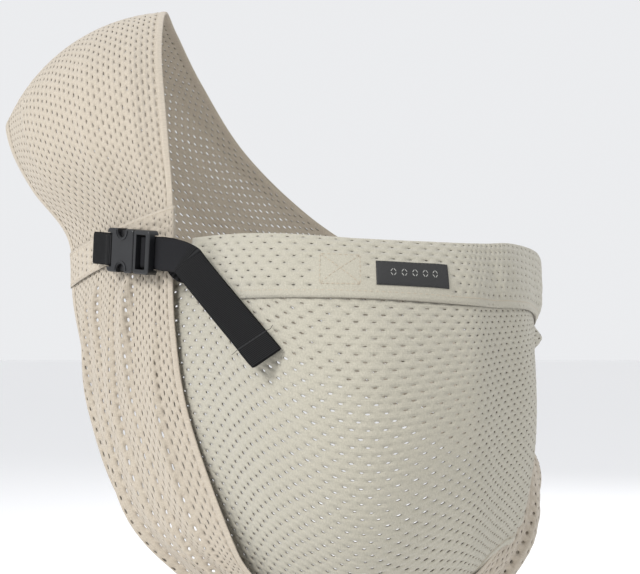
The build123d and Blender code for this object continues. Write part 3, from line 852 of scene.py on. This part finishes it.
hem_runs = [line(hem_cloth, hem_uv(HEM_START + 0.03, HEM_SEAM), hem_uv(HEM_END - 0.05, HEM_SEAM))]
hem_runs.append(line(hem_cloth, hem_uv(HEM_END - 0.05, 34), hem_uv(HEM_END - 0.05, 2)))
hem_seam = stitches("hem_seam_stitches", hem_runs, thread)
pouch_runs = [line(pouch_cloth, (0.02, v), (0.98, v)) for v in (0.978, 0.99)]
pouch_runs.append(line(pouch_cloth, (0.965, 0.01), (0.965, 0.97)))
pouch_seam = stitches("pouch_seam_stitches", pouch_runs, thread)
left, right = STITCH_BOX
corners = [hem_uv(left, BOX_TOP), hem_uv(right, BOX_TOP)]
corners += [hem_uv(right, BOX_BOTTOM), hem_uv(left, BOX_BOTTOM)]
box_runs = [line(hem_cloth, a, b, 2.9) for a, b in zip(corners, corners[1:] + corners[:1])]
box_runs += [line(hem_cloth, corners[0], corners[2], 2.9), line(hem_cloth, corners[1], corners[3], 2.9)]
box_stitches = stitches("anchor_box_stitching", box_runs, thread, length=2.3, thick=0.5, proud=0.16)
keeper_runs = [line(keeper_cloth, (0.03, v), (0.47, v)) for v in (0.08, 0.92)]
keeper_seam = stitches("keeper_edge_stitches", keeper_runs, thread)
band_runs = []
for cloth in (front_cloth, back_cloth, seat_cloth):
    for mm in (4.6, -4.6):
        share = mm / cloth.width.mean()
        u = share if mm > 0 else 1 + share
        band_runs.append(line(cloth, (u, 0.005), (u, 0.995)))
band_seam = stitches("band_edge_stitches", band_runs, thread)


# ---- label ---------------------------------------------------------------------------------------
def label_material():
    material, tree, shader = new_material("woven_label_black")
    link = tree.links.new
    uv = node(tree, "ShaderNodeUVMap", uv_map="cloth")
    weave = node(tree, "ShaderNodeTexWave", Scale=0.8, Distortion=0.4)
    weave.bands_direction = "DIAGONAL"
    fuzz = node(tree, "ShaderNodeTexNoise", Scale=2.5, Detail=3.0)
    for source in (weave, fuzz):
        link(uv.outputs["UV"], source.inputs["Vector"])
    ramp = node(tree, "ShaderNodeValToRGB")
    ramp.color_ramp.elements[0].color = (0.006, 0.006, 0.006, 1)
    ramp.color_ramp.elements[1].color = (0.028, 0.028, 0.028, 1)
    link(fuzz.outputs["Fac"], ramp.inputs["Fac"])
    link(ramp.outputs["Color"], shader.inputs["Base Color"])
    relief = node(tree, "ShaderNodeBump", Strength=0.5, Distance=0.0002)
    link(weave.outputs["Fac"], relief.inputs["Height"])
    link(relief.outputs["Normal"], shader.inputs["Normal"])
    shader.inputs["Roughness"].default_value = 0.65
    return material


def patch(name, cloth, low, high, lift, thickness, material, rows=28, columns=60, corner=0.12):
    """A thin pad on a cloth, between two (u, v) corners, with rolled edges."""
    a = np.linspace(-1, 1, rows)
    b = np.linspace(-1, 1, columns)
    grid_a, grid_b = np.meshgrid(a, b, indexing="ij")
    u = (low[0] + high[0]) / 2 + grid_a * (high[0] - low[0]) / 2
    v = (low[1] + high[1]) / 2 + grid_b * (high[1] - low[1]) / 2
    rim = np.maximum(np.abs(grid_a) ** 14, np.abs(grid_b) ** 30)
    top = cloth.at(u.ravel(), v.ravel(), (lift + thickness * (1 - 0.85 * rim)).ravel())
    under = cloth.at(u.ravel(), v.ravel(), np.full(u.size, lift * 0.2))
    index = np.arange(rows * columns).reshape(rows, columns)
    faces = []
    for i in range(rows - 1):
        for j in range(columns - 1):
            quad = [index[i, j], index[i + 1, j], index[i + 1, j + 1], index[i, j + 1]]
            faces.append(quad)
            faces.append([rows * columns + k for k in quad[::-1]])
    border = [*index[0, :-1], *index[:-1, -1], *index[-1, :0:-1], *index[:0:-1, 0]]
    for k, n in zip(border, border[1:] + border[:1]):
        faces.append([k, n, n + rows * columns, k + rows * columns])
    span_u, span_v = abs(high[0] - low[0]) * cloth.width.mean(), abs(high[1] - low[1]) * cloth.length
    flat = np.stack([grid_a.ravel() * span_u / 2, grid_b.ravel() * span_v / 2], axis=1)
    return make_object(name, np.concatenate([top, under]), faces, np.concatenate([flat, flat]), material)


low, high = hem_uv(LABEL[0], LABEL_BOTTOM), hem_uv(LABEL[1], LABEL_TOP)
label = patch("woven_label_patch", hem_cloth, low, high, 0.25, 0.75, label_material())
inset_u, inset_v = 0.9 / HEM_WIDTH, 0.9 / hem_cloth.length
label_runs = []
corner_points = [
    (low[0] + inset_u, low[1] + inset_v),
    (low[0] + inset_u, high[1] - inset_v),
    (high[0] - inset_u, high[1] - inset_v),
    (high[0] - inset_u, low[1] + inset_v),
]
for a, b in zip(corner_points, corner_points[1:] + corner_points[:1]):
    label_runs.append(line(hem_cloth, a, b, 2.2))
label_seam = stitches("label_edge_stitches", label_runs, dark_thread, length=1.6, thick=0.35, proud=1.0)
middle_u = (low[0] + high[0]) / 2
mark_runs = []
for share in (0.22, 0.36, 0.50, 0.64, 0.78):
    v = low[1] + (high[1] - low[1]) * share
    tall = 2.6 / HEM_WIDTH
    wide = 1.7 / hem_cloth.length
    mark_runs.append((hem_cloth, [middle_u - tall, middle_u], [v, v - wide]))
    mark_runs.append((hem_cloth, [middle_u, middle_u + tall], [v - wide, v]))
    mark_runs.append((hem_cloth, [middle_u + tall, middle_u], [v, v + wide]))
    mark_runs.append((hem_cloth, [middle_u, middle_u - tall], [v + wide, v]))
label_mark = stitches("label_woven_pattern", mark_runs, pale_thread, length=3.0, thick=0.42, proud=1.05)


# ---- webbing -------------------------------------------------------------------------------------
def in_buckle(x, z, y=0.0):
    return BUCKLE + RUN * x + FACE * z + UP * y


def strap(name, rows, material, **shape):
    centre, across = [row[0] for row in rows], [row[1] for row in rows]
    points, faces, uv, length = tube_along(centre, across, WEB_WIDTH, WEB_THICKNESS, **shape)
    return make_object(name, points, faces, uv, material), length


tail_route = ((4.4, 3.7), (5.0, 4.9), (7.1, 5.6), (9.2, 4.7))
tail_route += ((10.2, 2.9), (11.6, 2.3), (15.4, 2.3), (17.6, 3.4))
tail_rows = [(in_buckle(x, z), UP) for x, z in tail_route]
tail_rows += [(np.array(c), np.array(w)) for c, w in TAIL]
end, before = np.array(TAIL[-1][0]), np.array(TAIL[-2][0])
tail_way = (end - before) / np.linalg.norm(end - before)
tail_across = np.array(TAIL[-1][1]) - tail_way * (np.array(TAIL[-1][1]) @ tail_way)
tail_across /= np.linalg.norm(tail_across)
tail_out = np.cross(tail_way, tail_across)
if tail_out @ np.array((0, 1, 0)) < 0:
    tail_out = -tail_out
for back_by, depth in ((-0.5, 0.5), (-0.2, 1.25), (1.5, 1.5), (6.0, 1.5), (12.0, 1.5)):
    tail_rows.append((end - tail_way * back_by + tail_out * depth, np.array(TAIL[-1][1])))
tail, tail_length = strap("strap_tail_webbing", tail_rows, tail_webbing, ribs=0.2, rib_from=43.0)

anchor_rows = []
for place in np.linspace(STITCH_BOX[1] - 0.05, TUNNEL_END, 22):
    arc = Arc(section_at(POUCH, place))
    share = (TUNNEL_DEPTH + TUNNEL_SLOPE * (place - TUNNEL_END)) / arc.length
    rise = 1.5 + TUNNEL_RISE * max(0, TUNNEL_MOUTH - place)
    top, low_point = arc.points(np.array([share - 0.02, share + 0.02]), np.array([rise, rise]))
    anchor_rows.append(((top + low_point) / 2, (top - low_point) / np.linalg.norm(top - low_point)))
anchor_rows += [(np.array((71.0, -122.5, -143.5)), UP)]
anchor_route = ((20.0, -1.0), (15.5, 0.7), (9.0, 0.85), (5.6, 1.1), (4.4, 3.0))
anchor_rows += [(in_buckle(x, z), UP) for x, z in anchor_route]
anchor, _ = strap("anchor_webbing", anchor_rows, webbing, ribs=0.1)

stub_route = ((-43.5, 2.6), (-37.0, 2.8), (-31.0, 3.4), (-27.5, 5.2), (-25.0, 6.6), (-22.0, 6.6))
stub_route += ((-20.9, 4.8), (-20.9, 2.6), (-22.0, 1.5), (-27.0, 1.3), (-43.5, 1.3))
stub, _ = strap("socket_webbing", [(in_buckle(x, z), UP) for x, z in stub_route], webbing, ribs=0.1)

# tack at the end of the tail, and its two loose thread ends
def rod(points, radius, name, material):
    """A thin thread through a few points."""
    curve = bpy.data.curves.new(name, "CURVE")
    curve.dimensions = "3D"
    curve.bevel_depth = radius * MM
    curve.bevel_resolution = 2
    spline = curve.splines.new("POLY")
    spline.points.add(len(points) - 1)
    for spot, point in zip(spline.points, points):
        spot.co = (*(np.array(point) * MM), 1)
    made = bpy.data.objects.new(name, curve)
    bpy.context.collection.objects.link(made)
    mesh = bpy.data.meshes.new_from_object(made)
    bpy.data.objects.remove(made)
    thing = bpy.data.objects.new(name, mesh)
    mesh.materials.append(material)
    bpy.context.collection.objects.link(thing)
    return thing


tack_spot = end - tail_way * TACK_BACK - tail_out * 0.8
tack_line = []
for i, x in enumerate(np.linspace(-10.2, 10.2, 18)):
    tack_line.append(tack_spot + tail_across * x + tail_out * (0.15 * (-1) ** i))
tack = rod(tack_line, 0.22, "tail_tack", dark_thread)
thread_ends = []
for number, side in enumerate((-1, 1)):
    root = tack_spot + tail_across * 10 * side
    bend = root + tail_across * 2.2 * side + tail_way * 0.6 - tail_out * 0.3
    tip = root + tail_across * 4.6 * side - tail_way * (0.8 * side) - tail_out * 0.2
    thread_ends.append(rod([root, bend, tip], 0.16, f"tail_thread_end_{number + 1}", dark_thread))

# ---- CAD pieces that show, with their own materials ----------------------------------------------
for name, material in (
    ("buckle_socket", plastic),
    ("buckle_plug", plastic),
    ("upper_prong", shaded_prong_plastic),
    ("lower_prong", shaded_prong_plastic),
):
    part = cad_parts[name]
    part.data.materials.clear()
    part.data.materials.append(material)

# ---- who rides on what, and what stands for which CAD node ---------------------------------------
for piece, stands_for in (
    (front, ("front_band",)),
    (seat, ("seat_band",)),
    (back, ("back_band",)),
    (pouch, ("pouch_panel",)),
    (hem, ("head_support_hem",)),
    (keeper, ("keeper_sleeve",)),
    (stub, ("socket_strap",)),
    (anchor, ("anchor_strap",)),
    (label, ("woven_label",)),
    (label_seam, ("label_stitches",)),
    (hem_seam, ("hem_stitches",)),
    (box_stitches, ("anchor_box_stitches",)),
    (keeper_seam, ("keeper_stitches",)),
    (tail, ("tail_strap_upper", "tail_strap_lower", "tail_end_fold")),
):
    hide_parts(*stands_for)
on_sling = [front, seat, back, pouch, hem, keeper, stub, label, label_seam, label_mark, hem_seam]
on_sling += [box_stitches, keeper_seam, band_seam, pouch_seam, lower_rim, *edges.values()]
for piece in on_sling:
    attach(piece, "sling")
for piece in (tack, *thread_ends):
    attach(piece, "strap_tail")
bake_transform(anchor)
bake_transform(tail)
